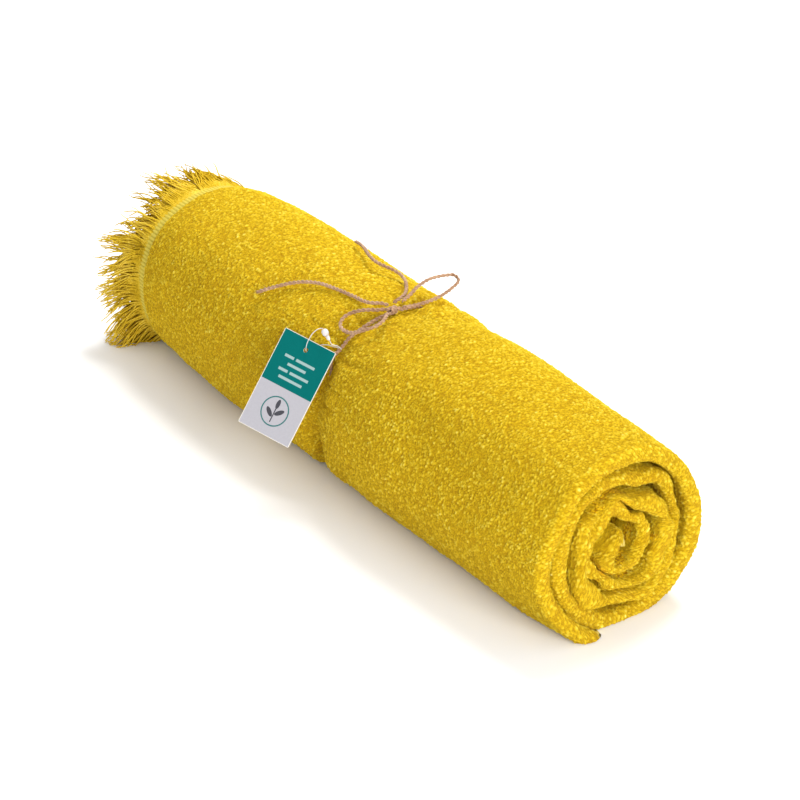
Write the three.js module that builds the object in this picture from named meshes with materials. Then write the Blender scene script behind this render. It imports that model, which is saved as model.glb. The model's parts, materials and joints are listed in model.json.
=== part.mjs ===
// A terry towel, folded in four, rolled up and tied with a twine bow that carries a swing tag.
// Millimetres, +Z up. +X runs along the roll to its folded end, and the tag hangs on the -Y side.
import * as THREE from "three";

// Driving dimensions. Angles are degrees about the roll, from +Y (0) over the top (90) to -Y (180).
const towel = {
  farLength: 212, // from the twine to the hem
  nearLength: 236, // from the twine to the folded end
  lipRadius: 66, // outer radius where the cloth ends, at the folded end of the roll
  pitch: 11.3, // four plies of cloth, from one turn to the next
  layerGap: 0.35, // air between two turns
  coreRadius: 4,
  coreGap: 1, // radius left open in the middle, which the first turn fills
  coreRamp: 0.11, // turns over which it fills it
  lipAngle: 236,
  bulge: 5, // how far the cloth swells either side of the twine
  bulgeFromTwine: 95,
  pinch: 2.5, // how far the twine pulls the cloth in
  farTaper: 1.5, // the hemmed end is rolled this much tighter
  facetsPerTurn: 18,
  stations: 14,
};
const hem = { width: 9, thickness: 3.2, inset: 1.4 };
const fringe = { tufts: 43, flare: 5, droop: 0.24, gap: 0.4 };
const tuft = { apart: 3.4, tipWidth: 9, baseThickness: 3.4, tipThickness: 1.8, length: 42 };
const twine = {
  diameter: 2.4,
  lift: 0.5,
  groundGap: 0.2,
  lean: 12, // the band leans this far along the roll, most of all at leanAngle
  leanAngle: 55,
  leanReach: 100,
  lipOverhang: 1.5, // degrees past the lip before the twine drops to the next turn
  lipSpan: 25,
  hangSpan: 16, // degrees either side of the tag's fastener over which the twine rises to clear it
};
const knot = { angle: 98, halfX: 3.2, halfY: 5.2, halfZ: 2.9 };
const card = { width: 39.5, height: 67, thickness: 0.5, cornerRadius: 0.8 };
const cardHole = { diameter: 3.2, fromTop: 7 };
const fastener = { filament: 0.5, lockDiameter: 4.3, lockLength: 4.6, plugDiameter: 2.4, plugLength: 3.2 };
const hang = { angle: 137, right: 18, up: 10.5, out: 3.2 }; // the twine, seen from the hole in the card
const touch = 0.3; // gap between pieces that touch

const radians = THREE.MathUtils.degToRad;
const clothThickness = towel.pitch - towel.layerGap;
const turns = (towel.lipRadius - clothThickness - towel.coreRadius) / towel.pitch;
const twineRadius = twine.diameter / 2;
const filamentRadius = fastener.filament / 2;
// The twine stands off the cloth here by as much as the filament needs to pass under it.
const hangLift = fastener.filament + 3 * touch;

// Radius of the outermost edge of the cloth, from the distance along the roll.
function lipRadiusAt(along) {
  const swollen = towel.lipRadius + towel.bulge;
  const waist = towel.lipRadius - towel.pinch;
  const reach = Math.abs(along) / towel.bulgeFromTwine;
  if (reach < 1) return waist + (swollen - waist) * (1 - (1 - reach) ** 3);
  const length = along < 0 ? towel.farLength : towel.nearLength;
  const end = towel.lipRadius - (along < 0 ? towel.farTaper : 0);
  const past = (Math.abs(along) - towel.bulgeFromTwine) / (length - towel.bulgeFromTwine);
  return swollen + (end - swollen) * past ** 2;
}

// How much of the lip's radius is left after some turns towards the core, at a depth in the cloth.
const rolledRadius = (along, turn, depth) =>
  (towel.lipRadius - towel.pitch * turn - depth) * (lipRadiusAt(along) / towel.lipRadius);

const bottomTurn = (towel.lipAngle + 90) / 360;
const axisHeight = rolledRadius(0, bottomTurn, 0) + twine.lift + twine.diameter + twine.groundGap;

// A point of the rolled stack: along the roll, turns in from the lip, depth below the outer face.
function rolled(along, turn, depth) {
  const angle = radians(towel.lipAngle - 360 * turn);
  const radius = rolledRadius(along, turn, depth);
  const lean = twine.lean * Math.cos(angle - radians(twine.leanAngle));
  const shift = lean * Math.max(0, 1 - (along / twine.leanReach) ** 2);
  const height = axisHeight + radius * Math.sin(angle);
  return new THREE.Vector3(along + shift, radius * Math.cos(angle), Math.max(0, height));
}

// Turns in from the lip of the outermost cloth at an angle.
const turnAt = (angle) => ((((towel.lipAngle - angle) % 360) + 360) % 360) / 360;

// Moves every vertex of a geometry by a function of its place.
function reshape(geometry, place) {
  const position = geometry.attributes.position;
  const at = new THREE.Vector3();
  for (let i = 0; i < position.count; i++) {
    at.fromBufferAttribute(position, i);
    const moved = place(at);
    position.setXYZ(i, moved.x, moved.y, moved.z);
  }
  geometry.computeVertexNormals();
  return geometry;
}

// A slab of the folded stack, rolled up with it.
function rolledSlab(stations, alongAt, depth, thicknessAt) {
  const facets = Math.round(turns * towel.facetsPerTurn);
  const flat = new THREE.BoxGeometry(1, 1, 1, facets, 1, stations);
  return reshape(flat, (at) => {
    const turn = (at.x + 0.5) * turns;
    return rolled(alongAt(at.z), turn, depth + (0.5 - at.y) * thicknessAt(turn));
  });
}

// The first turn is crumpled up, so there the cloth reaches in almost to the axis.
function clothThicknessAt(turn) {
  const inside = towel.lipRadius - towel.pitch * turn - clothThickness - towel.coreGap;
  const filled = THREE.MathUtils.clamp((turn - turns + 1) / towel.coreRamp, 0, 1);
  return clothThickness + inside * filled;
}

const materials = {
  terry: new THREE.MeshStandardMaterial({ color: 0xdab83a, roughness: 0.95, metalness: 0 }),
  hem: new THREE.MeshStandardMaterial({ color: 0xdcc258, roughness: 0.9, metalness: 0 }),
  fringe: new THREE.MeshStandardMaterial({ color: 0xd0a62a, roughness: 0.95, metalness: 0 }),
  jute: new THREE.MeshStandardMaterial({ color: 0xb08560, roughness: 0.9, metalness: 0 }),
  card: new THREE.MeshStandardMaterial({ color: 0x0b7d7b, roughness: 0.5, metalness: 0 }),
  nylon: new THREE.MeshStandardMaterial({ color: 0xf2f1ee, roughness: 0.35, metalness: 0 }),
};

function piece(name, geometry, material) {
  const mesh = new THREE.Mesh(geometry, material);
  mesh.name = name;
  return mesh;
}

// Four plies of terry, rolled from the core out to the lip, with facets closer together by the twine.
function towelCloth() {
  const crowding = 1.6;
  const alongAt = (station) =>
    Math.sign(station) *
    (station < 0 ? towel.farLength : towel.nearLength) *
    Math.abs(2 * station) ** crowding;
  return piece("towel_cloth", rolledSlab(towel.stations, alongAt, 0, clothThicknessAt), materials.terry);
}

const hemStart = -towel.farLength - touch;
const hemEnd = hemStart - hem.width;

// The flat-woven band past the pile, where the two cut ends of the towel lie together.
function hemBand() {
  const alongAt = (station) => (station < 0 ? hemEnd : hemStart);
  return piece("hem_band", rolledSlab(1, alongAt, hem.inset, () => hem.thickness), materials.hem);
}

// Radius of the middle of the hem, some turns in from the lip.
const hemMiddle = hem.inset + hem.thickness / 2;
const hemRadius = (turn) => rolledRadius(hemEnd, turn, hemMiddle);

// Turns in from the lip after some length of the hem. The radius falls evenly from turn to turn.
function turnAfter(length) {
  const fall = hemRadius(0) - hemRadius(1);
  return (hemRadius(0) - Math.sqrt(hemRadius(0) ** 2 - (fall * length) / Math.PI)) / fall;
}

// A lock of warp yarns at one place of the hem, which spreads outwards and hangs down to its tip.
function fringeTuft(number, turn, baseWidth) {
  const base = hemEnd - fringe.gap;
  const lock = new THREE.CylinderGeometry(tuft.tipWidth / 2, baseWidth / 2, 1, 8, 3);
  const around = 2 * Math.PI * hemRadius(turn);
  const geometry = reshape(lock, (at) => {
    const part = at.y + 0.5;
    const width = THREE.MathUtils.lerp(baseWidth, tuft.tipWidth, part);
    const thickness = THREE.MathUtils.lerp(tuft.baseThickness, tuft.tipThickness, part);
    const depth = hemMiddle - (at.z / width) * thickness;
    const spot = rolled(base, turn + at.x / around, depth);
    const spread = 1 + (fringe.flare / towel.lipRadius) * part ** 2;
    const hangs = 1 - fringe.droop * part ** 2;
    const height = axisHeight + (spot.z - axisHeight) * spread;
    return new THREE.Vector3(base - tuft.length * part, spot.y * spread, Math.max(0, height) * hangs);
  });
  return piece(`fringe_tuft_${String(number).padStart(2, "0")}`, geometry, materials.fringe);
}

// The fringe is parted into as many tufts however long the rolled hem is.
function fringeTufts() {
  const spacing = (2 * Math.PI * turns * hemRadius(turns / 2)) / fringe.tufts;
  const tufts = [];
  for (let i = 0; i < fringe.tufts; i++) {
    tufts.push(fringeTuft(i + 1, turnAfter((i + 0.5) * spacing), spacing - tuft.apart));
  }
  return tufts;
}

// A round cord or filament along a smooth curve through the points.
function tube(points, radius, steps, sides = 8) {
  const section = new THREE.Shape();
  for (let i = 0; i < sides; i++) {
    const turn = (2 * Math.PI * i) / sides;
    const corner = [radius * Math.cos(turn), radius * Math.sin(turn)];
    if (i === 0) section.moveTo(...corner);
    else section.lineTo(...corner);
  }
  section.closePath();
  const extrudePath = new THREE.CatmullRomCurve3(points, false, "centripetal");
  return new THREE.ExtrudeGeometry(section, { steps, extrudePath });
}

// Centre of the twine at an angle. It spans the step under the lip and rises where the tag hangs.
function twinePoint(angle) {
  const pastLip = (((angle - towel.lipAngle) % 360) + 360) % 360;
  const falling = Math.max(0, pastLip - twine.lipOverhang) / twine.lipSpan;
  const step = falling < 1 ? towel.pitch * (1 - falling) ** 2 : 0;
  const nearHang = Math.max(0, 1 - Math.abs(angle - hang.angle) / twine.hangSpan);
  const lift = twine.lift + (hangLift - twine.lift) * Math.min(1, 2 * nearHang);
  return rolled(0, turnAt(angle), -step - lift - twineRadius);
}

const knotCentre = rolled(0, turnAt(knot.angle), -touch - knot.halfZ);

// The turn of twine that holds the roll, from one side of the knot round to the other.
function twineBand() {
  const radius = Math.hypot(knotCentre.y, knotCentre.z - axisHeight);
  const half = THREE.MathUtils.radToDeg((knot.halfY + touch + twineRadius * 0.4) / radius);
  const first = knot.angle + half;
  const last = knot.angle + 360 - half;
  const count = 70;
  const points = [];
  for (let i = 0; i <= count; i++) points.push(twinePoint(first + ((last - first) * i) / count));
  return piece("twine_band", tube(points, twineRadius, 80), materials.jute);
}

function twineKnot() {
  const lump = new THREE.SphereGeometry(1, 14, 9).scale(knot.halfX, knot.halfY, knot.halfZ);
  const mesh = piece("twine_knot", lump, materials.jute);
  mesh.position.copy(knotCentre);
  return mesh;
}

// The free twine of the bow, as points from the middle of the knot.
const leftLoop = [
  [-2.8, -4.4, 0.9], [-4.6, -7.4, 0.5], [-11, -13.8, -0.4], [-16.6, -20, -2.8], [-18.6, -25.4, -5.8],
  [-16.6, -29.2, -8.4], [-10.8, -30.6, -9.6], [-4.4, -29.3, -9], [4.4, -24.6, -4.6], [8.8, -19.2, -1.6],
  [8.4, -13.4, 0.2], [4.8, -8.4, 0.6], [2.2, -5.6, 0.4],
];
const rightLoop = [
  [2.6, 5.4, 1.4], [4.6, 11, 1.4], [6.6, 20, 2], [7, 31, 3], [5, 42, 4.6], [1.8, 50.4, 7],
  [-2.4, 50, 9], [-4.6, 44, 9.6], [-5.6, 34, 10], [-5, 24, 8.2], [-2.2, 15, 5.6], [-0.4, 7.4, 3.6],
];
const leftTail = [
  [-3.8, -0.8, 2.2], [-7, -4.2, 3.2], [-12.2, -8.4, 2.6], [-19, -9.8, 1.6], [-26.2, -10.4, 1.3],
  [-38, -13, 1.4], [-46, -15, 1.4], [-54.6, -17.4, 1.1], [-62.5, -20.6, 0], [-70, -24.8, -1.9],
  [-76, -29, -4.3], [-81.2, -33.4, -6.9], [-87.5, -38, -10.4], [-93.5, -41.8, -14],
];
const rightTail = [
  [-3.6, 3, 2.8], [-4.4, 8.4, 3.8], [-8.4, 15.2, 3.2], [-16.3, 22.2, 2.6], [-25.3, 27.6, 2.3],
  [-33.5, 29.6, 2.8], [-39, 27.4, 4.6], [-43, 23.4, 6.8], [-49.5, 21.4, 8], [-57.5, 22.6, 8],
  [-66, 26, 6.8], [-75, 30, 5.2], [-84, 32.8, 3.4], [-91, 34.6, 1.9],
];

function bow() {
  const strands = {
    twine_loop_left: [leftLoop, 30],
    twine_loop_right: [rightLoop, 36],
    twine_tail_left: [leftTail, 32],
    twine_tail_right: [rightTail, 32],
  };
  return Object.entries(strands).map(([name, [offsets, steps]]) => {
    const points = offsets.map((offset) => new THREE.Vector3(...offset).add(knotCentre));
    return piece(name, tube(points, twineRadius, steps), materials.jute);
  });
}

// Everything that hangs from the twine is placed from the hole in the card: x right, y up, z out.
function hangingGroup() {
  const group = new THREE.Group();
  const out = new THREE.Vector3(0.38, -0.713, 0.589).normalize();
  const up = new THREE.Vector3().crossVectors(out, new THREE.Vector3(0.922, 0.344, -0.178)).normalize();
  const right = new THREE.Vector3().crossVectors(up, out);
  group.quaternion.setFromRotationMatrix(new THREE.Matrix4().makeBasis(right, up, out));
  const toTwine = new THREE.Vector3(hang.right, hang.up, -hang.out).applyQuaternion(group.quaternion);
  group.position.copy(twinePoint(hang.angle)).sub(toTwine);
  return group;
}

function tagCard() {
  const { width, height, thickness, cornerRadius: corner } = card;
  const left = -width / 2;
  const bottom = cardHole.fromTop - height;
  const outline = new THREE.Shape();
  outline.moveTo(left + corner, bottom);
  outline.absarc(left + width - corner, bottom + corner, corner, -Math.PI / 2, 0);
  outline.absarc(left + width - corner, bottom + height - corner, corner, 0, Math.PI / 2);
  outline.absarc(left + corner, bottom + height - corner, corner, Math.PI / 2, Math.PI);
  outline.absarc(left + corner, bottom + corner, corner, Math.PI, 1.5 * Math.PI);
  outline.holes.push(new THREE.Path().absarc(0, 0, cardHole.diameter / 2, 0, 2 * Math.PI));
  const options = { depth: thickness, bevelEnabled: false, curveSegments: 6 };
  const sheet = new THREE.ExtrudeGeometry(outline, options);
  return piece("tag_card", sheet.translate(0, 0, -thickness / 2), materials.card);
}

// The lock's middle and the way its socket points, both in the hanging group.
const lockCentre = new THREE.Vector3(7.5, 15.6, 2.4);
const socketWay = new THREE.Vector3(0.8, -0.56, -0.22).normalize();
const alongSocket = (distance) => lockCentre.clone().addScaledVector(socketWay, distance);

// A round piece on the socket's axis, from its profile of [distance along, radius] points.
function turned(name, start, profile) {
  const points = profile.map(([distance, radius]) => new THREE.Vector2(radius, distance));
  const mesh = piece(name, new THREE.LatheGeometry(points, 12), materials.nylon);
  mesh.quaternion.setFromUnitVectors(new THREE.Vector3(0, 1, 0), socketWay);
  mesh.position.copy(alongSocket(start));
  return mesh;
}

const plugStart = fastener.lockLength / 2 - 1.2;
const socketRadius = 0.6;

function fastenerLock() {
  const half = fastener.lockLength / 2;
  const radius = fastener.lockDiameter / 2;
  const profile = [
    [-half, 0], [-half, radius * 0.55], [-half * 0.45, radius], [half * 0.45, radius],
    [half, radius * 0.62], [half, socketRadius + touch], [plugStart - touch, socketRadius + touch],
    [plugStart - touch, 0],
  ];
  return turned("fastener_lock", 0, profile);
}

function fastenerPlug() {
  const neck = fastener.lockLength / 2 - plugStart + touch;
  const radius = fastener.plugDiameter / 2;
  const { plugLength: length } = fastener;
  const profile = [
    [0, 0], [0, socketRadius], [neck, socketRadius], [neck, radius],
    [neck + length * 0.6, radius], [neck + length, filamentRadius * 1.5], [neck + length, 0],
  ];
  return turned("fastener_plug", plugStart, profile);
}

// The filament leaves the lock, runs over the card's top edge, back through its hole, behind the
// card and round the twine, and ends in the plug.
function fastenerLoop() {
  const ring = twineRadius + 2 * touch + filamentRadius;
  const plugEnd = fastener.lockLength / 2 + 2 * touch + fastener.plugLength;
  const { right, up, out } = hang;
  const route = [
    alongSocket(-fastener.lockLength / 2 - 2 * touch).toArray(),
    [3, 16, 3.4], [1, 12.4, 3.8], [0.3, 8, 4], [0, 4, 3], [0, 1.4, 1.4], [0, 0, 0],
    [0, -0.6, -2.2], [0.3, 0.4, -4.8], [1.4, 3.4, -6.6], [4.4, 7, -7.2], [9, 9.2, -6.8], [14, 10, -6],
    [right - ring, up, -out - ring * 0.8], [right, up, -out - ring],
    [right + ring * 0.72, up + 0.2, -out - ring * 0.7], [right + ring, up + 0.5, -out],
    [right + ring * 0.7, up + 0.8, -out + ring * 0.75],
    [right - 0.3, up + 1, -out + ring * 1.15], alongSocket(plugEnd + 2.4).toArray(),
    alongSocket(plugEnd + touch).toArray(),
  ];
  const points = route.map((point) => new THREE.Vector3(...point));
  return piece("fastener_loop", tube(points, filamentRadius, 72, 8), materials.nylon);
}

const hanging = hangingGroup();
hanging.add(tagCard(), fastenerLock(), fastenerPlug(), fastenerLoop());

const assembly = new THREE.Group();
const held = [towelCloth(), hemBand(), ...fringeTufts(), twineBand(), twineKnot(), hanging];
assembly.add(...held);

// The origin is under the middle of everything but the bow's free twine.
const box = new THREE.Box3().setFromObject(assembly);
const middle = box.getCenter(new THREE.Vector3());
assembly.add(...bow());
assembly.position.set(-middle.x, -middle.y, -box.min.z);

export default new THREE.Group().add(assembly);
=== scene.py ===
import json
import math
import random
import bmesh
import bpy
from mathutils import Matrix, Vector, noise


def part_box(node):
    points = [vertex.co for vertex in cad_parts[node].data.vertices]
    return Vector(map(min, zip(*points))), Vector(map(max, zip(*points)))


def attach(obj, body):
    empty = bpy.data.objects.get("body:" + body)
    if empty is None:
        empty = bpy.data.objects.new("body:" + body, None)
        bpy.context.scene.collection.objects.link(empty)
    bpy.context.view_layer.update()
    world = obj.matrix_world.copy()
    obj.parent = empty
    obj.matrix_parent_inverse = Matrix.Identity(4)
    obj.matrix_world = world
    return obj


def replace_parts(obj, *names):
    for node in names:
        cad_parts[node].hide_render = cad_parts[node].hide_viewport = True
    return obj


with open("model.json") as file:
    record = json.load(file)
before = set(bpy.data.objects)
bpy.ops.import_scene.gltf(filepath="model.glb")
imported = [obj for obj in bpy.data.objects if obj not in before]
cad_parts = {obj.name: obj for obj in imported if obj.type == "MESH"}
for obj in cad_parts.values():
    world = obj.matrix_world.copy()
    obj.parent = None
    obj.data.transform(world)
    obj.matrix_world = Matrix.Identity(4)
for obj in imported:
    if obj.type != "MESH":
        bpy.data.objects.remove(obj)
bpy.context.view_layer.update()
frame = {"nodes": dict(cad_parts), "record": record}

noise.seed_set(7)  # without a seed noise_vector differs from run to run


# how the towel is rolled, in metres and degrees, with the same driving sizes as the CAD model
roll = {
    "farLength": 0.212,  # from the twine to the hem
    "nearLength": 0.236,  # from the twine to the folded end
    "lipRadius": 0.066,
    "pitch": 0.0113,  # four plies
    "layerGap": 0.00035,
    "coreRadius": 0.004,
    "lipAngle": 236,
    "bulge": 0.005,
    "bulgeFromTwine": 0.095,
    "pinch": 0.0025,
    "farTaper": 0.0015,
    "lean": 0.012,  # the waist leans this far along the roll
    "leanAngle": 55,
    "leanReach": 0.1,
    "knotAngle": 98,
    "knotAboveCloth": 0.0032,
    "stackMiddle": 0.0056,  # from the stack's outer face
}
looseEnd = {
    "from": 0.11,  # the folded end is rolled more loosely from here on
    "shrink": 0.03,  # how much tighter the inner turns lie than the outer one
    "shift": (0.0004, -0.0016),  # and how far they drop, in Y and Z
    "slack": 0.0075,  # how far the outer turn has let out at its lower back
    "slackThick": 0.3,  # and how much thicker its four plies lie there
    "crumple": 0.0088,
    "crumpleSize": 0.024,
    "creasing": 0.0042,  # finer folds, in the core
    "creaseSize": 0.0105,
    "squash": 0.22,  # the stack is pressed thinner in places, which opens gaps
    "squashFrom": (0.16, 0.05),  # where the pressing starts, and how soon it is full
    "squashTurns": (0.9, 0.4),
    "stagger": 0.006,  # the turns don't end level
    "outerTurns": (1.05, 0.5),  # the outer turn's swells fade over these
    "innerTurns": (0.98, 0.5),  # crumples come in over these
    "coreTurns": (1.7, 1.3),  # and finer folds over these
    "slackTurns": (0.54, 0.2, 0.9, 0.2),  # from the top, round the back, to under the lip
    "dropTurns": 1.6,
    "cornerTurns": 0.14,
    "liftTurns": 0.09,
    "lipLift": 0.003,
    "lipReach": 17,  # degrees that the lip's corner runs on
    "lipTongue": 0.015,  # and how far it sticks out past the end
}
core = {"turns": 1.25, "tighter": 0.3}  # the first turns to be rolled lie loose of the rest
plies = {
    "depths": (0.0019, 0.0044, 0.0068, 0.0093),  # middles of the four plies, outermost first
    "thickness": 0.0021,
    "foldAt": 0.2305,  # middle of the two folds at the folded end
    "farFoldAt": -0.2075,
    "lipRound": 0.0045,  # the plies close up over this much cloth at the lip
    "closed": 0.02,
    "corner": 0.012,  # radius of the stack's corner at the lip
    "cornerFrom": (0.14, 0.09),
    "drawnFrom": -0.196,  # towards the hem the plies are drawn in
    "drawn": 0.0016,
    "drawnOver": 0.016,
}
stackThickness = roll["pitch"] - roll["layerGap"]
turns = (roll["lipRadius"] - stackThickness - roll["coreRadius"]) / roll["pitch"]
floorGap = 0.0008  # nothing of the cloth goes lower than this


def smooth(value):
    value = min(1, max(0, value))
    return value * value * (3 - 2 * value)


def rising(value, start, over):
    return smooth((value - start) / over)


def plateau(value, start, rise, end, fall):  # from 0 up to 1, and back to 0
    return rising(value, start, rise) * (1 - rising(value, end, fall))


def lipRadiusAt(along):
    swollen = roll["lipRadius"] + roll["bulge"]
    waist = roll["lipRadius"] - roll["pinch"]
    reach = abs(along) / roll["bulgeFromTwine"]
    if reach < 1:
        return waist + (swollen - waist) * (1 - (1 - reach) ** 3)
    length = roll["farLength"] if along < 0 else roll["nearLength"]
    end = roll["lipRadius"] - (roll["farTaper"] if along < 0 else 0)
    past = (abs(along) - roll["bulgeFromTwine"]) / (length - roll["bulgeFromTwine"])
    return swollen + (end - swollen) * past ** 2


def rolledRadius(along, turn, depth):
    atTwine = roll["lipRadius"] - roll["pitch"] * turn - depth
    return atTwine * lipRadiusAt(along) / roll["lipRadius"]


def turnAt(angle):
    return ((roll["lipAngle"] - angle) % 360) / 360


def arcLength(turn):  # cloth rolled up from the lip to here, through the middle of the stack
    first = roll["lipRadius"] - roll["stackMiddle"]
    return 2 * math.pi * (first * turn - roll["pitch"] * turn * turn / 2)


def turnOnArc(arc):  # and the other way about
    first = roll["lipRadius"] - roll["stackMiddle"]
    root = first ** 2 - roll["pitch"] * arc / math.pi
    return (first - math.sqrt(max(0, root))) / roll["pitch"]


def middleOf(node):
    low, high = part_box(node)
    return (Vector(low) + Vector(high)) / 2


knotMiddle = middleOf("twine_knot")
knotRadius = rolledRadius(0, turnAt(roll["knotAngle"]), -roll["knotAboveCloth"])
knotTurn = math.radians(roll["knotAngle"])
knotLean = roll["lean"] * math.cos(knotTurn - math.radians(roll["leanAngle"]))
knotOut = Vector((knotLean, knotRadius * math.cos(knotTurn), knotRadius * math.sin(knotTurn)))
rollMiddle = knotMiddle - knotOut

swells = {
    "along": 13,  # how close together they lie, along the roll and round it
    "round": 1.6,
    "height": 0.0013,
    "finer": 2.3,
    "finerHeight": 0.0009,
    "awayFromTwine": (0.006, 0.04),
}
hollows = {"depth": 0.0034, "angle": 150, "spread": 17, "from": (0.05, 0.06)}  # in front
pleats = {
    "reach": 0.05,
    "depth": 0.0017,
    "round": 3.4,
    "along": 6,
    "width": 0.16,
    "seeds": (2.5, 9),  # towards the folded end, and towards the hem
    "fromTwine": (0.002, 0.006, 0.012, 0.038),
}
groove = {  # how the cloth lies about the twine
    "ridge": 0.005,
    "ridgeSpan": (0.001, 0.006, 0.007, 0.03),
    "bareAngles": (76, 14, 200, 20),  # no ridge by the knot and the tag
    "valley": 0.0055,  # in front the twine pulls in deeper than the CAD's waist
    "valleyWidth": 0.0095,
    "valleyAngles": (140, 15, 300, 40),
    "dent": 0.0019,  # where the tag's filament presses the pile down
    "dentWidth": 0.007,
    "dentAngle": 7,
    "hangAngle": 137,  # the tag's fastener passes under the twine here
}


def undulation(along, angle):  # soft hollows and swells of the outer turns, none under the twine
    size = swells["round"]
    way = Vector((along * swells["along"], size * math.cos(angle), size * math.sin(angle)))
    finer = way * swells["finer"] + Vector((5, 1, 7))
    soft = noise.noise(way) * swells["height"] + noise.noise(finer) * swells["finerHeight"]
    degrees = math.degrees(angle) % 360
    hollow = hollows["depth"] * math.exp(-((degrees - hollows["angle"]) / hollows["spread"]) ** 2)
    return soft * rising(abs(along), *swells["awayFromTwine"]) - hollow * rising(along, *hollows["from"])


def creases(along, angle):  # pleats that run out from the twine, deepest beside it
    reach = abs(along)
    if reach > pleats["reach"]:
        return 0
    seed = pleats["seeds"][0] if along > 0 else pleats["seeds"][1]
    line = noise.noise(Vector((angle * pleats["round"] + seed, along * pleats["along"], 0)))
    fold = 1 - min(1, abs(line) / pleats["width"])
    start, rise, end, fall = pleats["fromTwine"]
    return -pleats["depth"] * fold * rising(reach, start, rise) * (1 - rising(reach, end, fall))


def ridge(along, angle):  # the cloth swells over the twine, but not beside the knot and the tag
    degrees = math.degrees(angle) % 360
    bare = plateau(degrees, *groove["bareAngles"])
    rise = plateau(abs(along), *groove["ridgeSpan"])
    front = plateau(degrees, *groove["valleyAngles"])
    valley = groove["valley"] * front * math.exp(-(along / groove["valleyWidth"]) ** 2)
    offHang = (degrees - groove["hangAngle"]) / groove["dentAngle"]
    dent = groove["dent"] * math.exp(-(along / groove["dentWidth"]) ** 2 - offHang ** 2)
    return groove["ridge"] * rise * (1 - bare) - valley - dent


def loosenessAt(along):
    return smooth((along - looseEnd["from"]) / (roll["nearLength"] - looseEnd["from"]))


def rolled(along, turn, depth):  # where a spot of the folded stack lies once it is rolled up
    loose = loosenessAt(along)
    corner = loose * max(0, 1 - turn / looseEnd["cornerTurns"]) ** 2
    angle = math.radians(roll["lipAngle"] + looseEnd["lipReach"] * corner - 360 * turn)
    radius = rolledRadius(along, turn, depth)
    radius *= 1 - core["tighter"] * smooth((turn - turns + core["turns"]) / core["turns"])
    outer = 1 - rising(turn, *looseEnd["outerTurns"])
    if outer > 0:
        radius += outer * (undulation(along, angle) + creases(along, angle) + ridge(along, angle))
    lean = roll["lean"] * math.cos(angle - math.radians(roll["leanAngle"]))
    along += lean * max(0, 1 - (along / roll["leanReach"]) ** 2)
    y = radius * math.cos(angle)
    z = radius * math.sin(angle)
    if loose > 0:
        lip = smooth((looseEnd["liftTurns"] - turn) / looseEnd["liftTurns"]) * loose * looseEnd["lipLift"]
        y += lip * math.cos(angle)
        z += lip * math.sin(angle)
        out = looseEnd["slack"] * loose * plateau(turn, *looseEnd["slackTurns"])
        y += out * math.cos(angle)
        z += out * math.sin(angle)
        inner = loose * rising(turn, *looseEnd["innerTurns"])
        shrunk = 1 - looseEnd["shrink"] * inner
        y = y * shrunk + looseEnd["shift"][0] * inner * turn / looseEnd["dropTurns"]
        z = z * shrunk + looseEnd["shift"][1] * inner * turn / looseEnd["dropTurns"]
        spot = Vector((y, z, along * 0.4)) / looseEnd["crumpleSize"]
        y += looseEnd["crumple"] * inner * noise.noise(spot + Vector((3.1, 0, 0)))
        z += looseEnd["crumple"] * inner * noise.noise(spot + Vector((0, 8.7, 2)))
        finer = looseEnd["creasing"] * loose * rising(turn, *looseEnd["coreTurns"])
        spot = Vector((y, z, along * 0.5)) / looseEnd["creaseSize"]
        y += finer * noise.noise(spot + Vector((6.2, 1, 0)))
        z += finer * noise.noise(spot + Vector((0, 3.9, 5)))
        along += looseEnd["lipTongue"] * corner
        along += looseEnd["stagger"] * loose * noise.noise(Vector((turn * 2.1, 4.4, 0))) * (0.5 + inner)
    place = rollMiddle + Vector((along, y, z))
    place.z = max(floorGap, place.z)
    return place


# the camera and the lights
view = {"azimuth": 54.5, "elevation": 29.2, "distance": 2.196, "right": 0.0025, "up": -0.009, "lens": 153}
addToScene = bpy.context.collection.objects.link
camera = bpy.data.objects.new("camera", bpy.data.cameras.new("camera"))
addToScene(camera)
azimuth = math.radians(view["azimuth"])
elevation = math.radians(view["elevation"])
cameraBack = Vector((
    math.sin(azimuth) * math.cos(elevation),
    -math.cos(azimuth) * math.cos(elevation),
    math.sin(elevation),
))
cameraRight = Vector((math.cos(azimuth), math.sin(azimuth), 0))
cameraUp = cameraBack.cross(cameraRight)
aim = Vector((rollMiddle.x, rollMiddle.y, rollMiddle.z))
camera.matrix_world = Matrix.LocRotScale(
    aim + cameraBack * view["distance"] + cameraRight * view["right"] + cameraUp * view["up"],
    Matrix((cameraRight, cameraUp, cameraBack)).transposed().to_quaternion(),
    None,
)
camera.data.lens = view["lens"]
camera.data.sensor_width = 36
camera.data.clip_end = 20
bpy.context.scene.camera = camera
print("camera placed")


def areaLight(name, place, size, power):
    light = bpy.data.lights.new(name, "AREA")
    light.shape = "DISK"
    light.size = size
    light.energy = power
    lamp = bpy.data.objects.new(name, light)
    lamp.location = place
    lamp.rotation_euler = (aim - Vector(place)).to_track_quat("-Z", "Y").to_euler()
    addToScene(lamp)


studio = {"key": ((-0.35, 0.75, 1.5), 0.8, 30), "end_fill": ((2.2, -0.3, 0.75), 1.5, 50), "world": 0.78}
areaLight("key", *studio["key"])
areaLight("end_fill", *studio["end_fill"])
world = bpy.data.worlds.new("studio")
world.use_nodes = True
world.node_tree.nodes["Background"].inputs["Color"].default_value = (1, 1, 1, 1)
world.node_tree.nodes["Background"].inputs["Strength"].default_value = studio["world"]
bpy.context.scene.world = world
bpy.context.scene.view_settings.view_transform = "Standard"
print("lights set")


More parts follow.
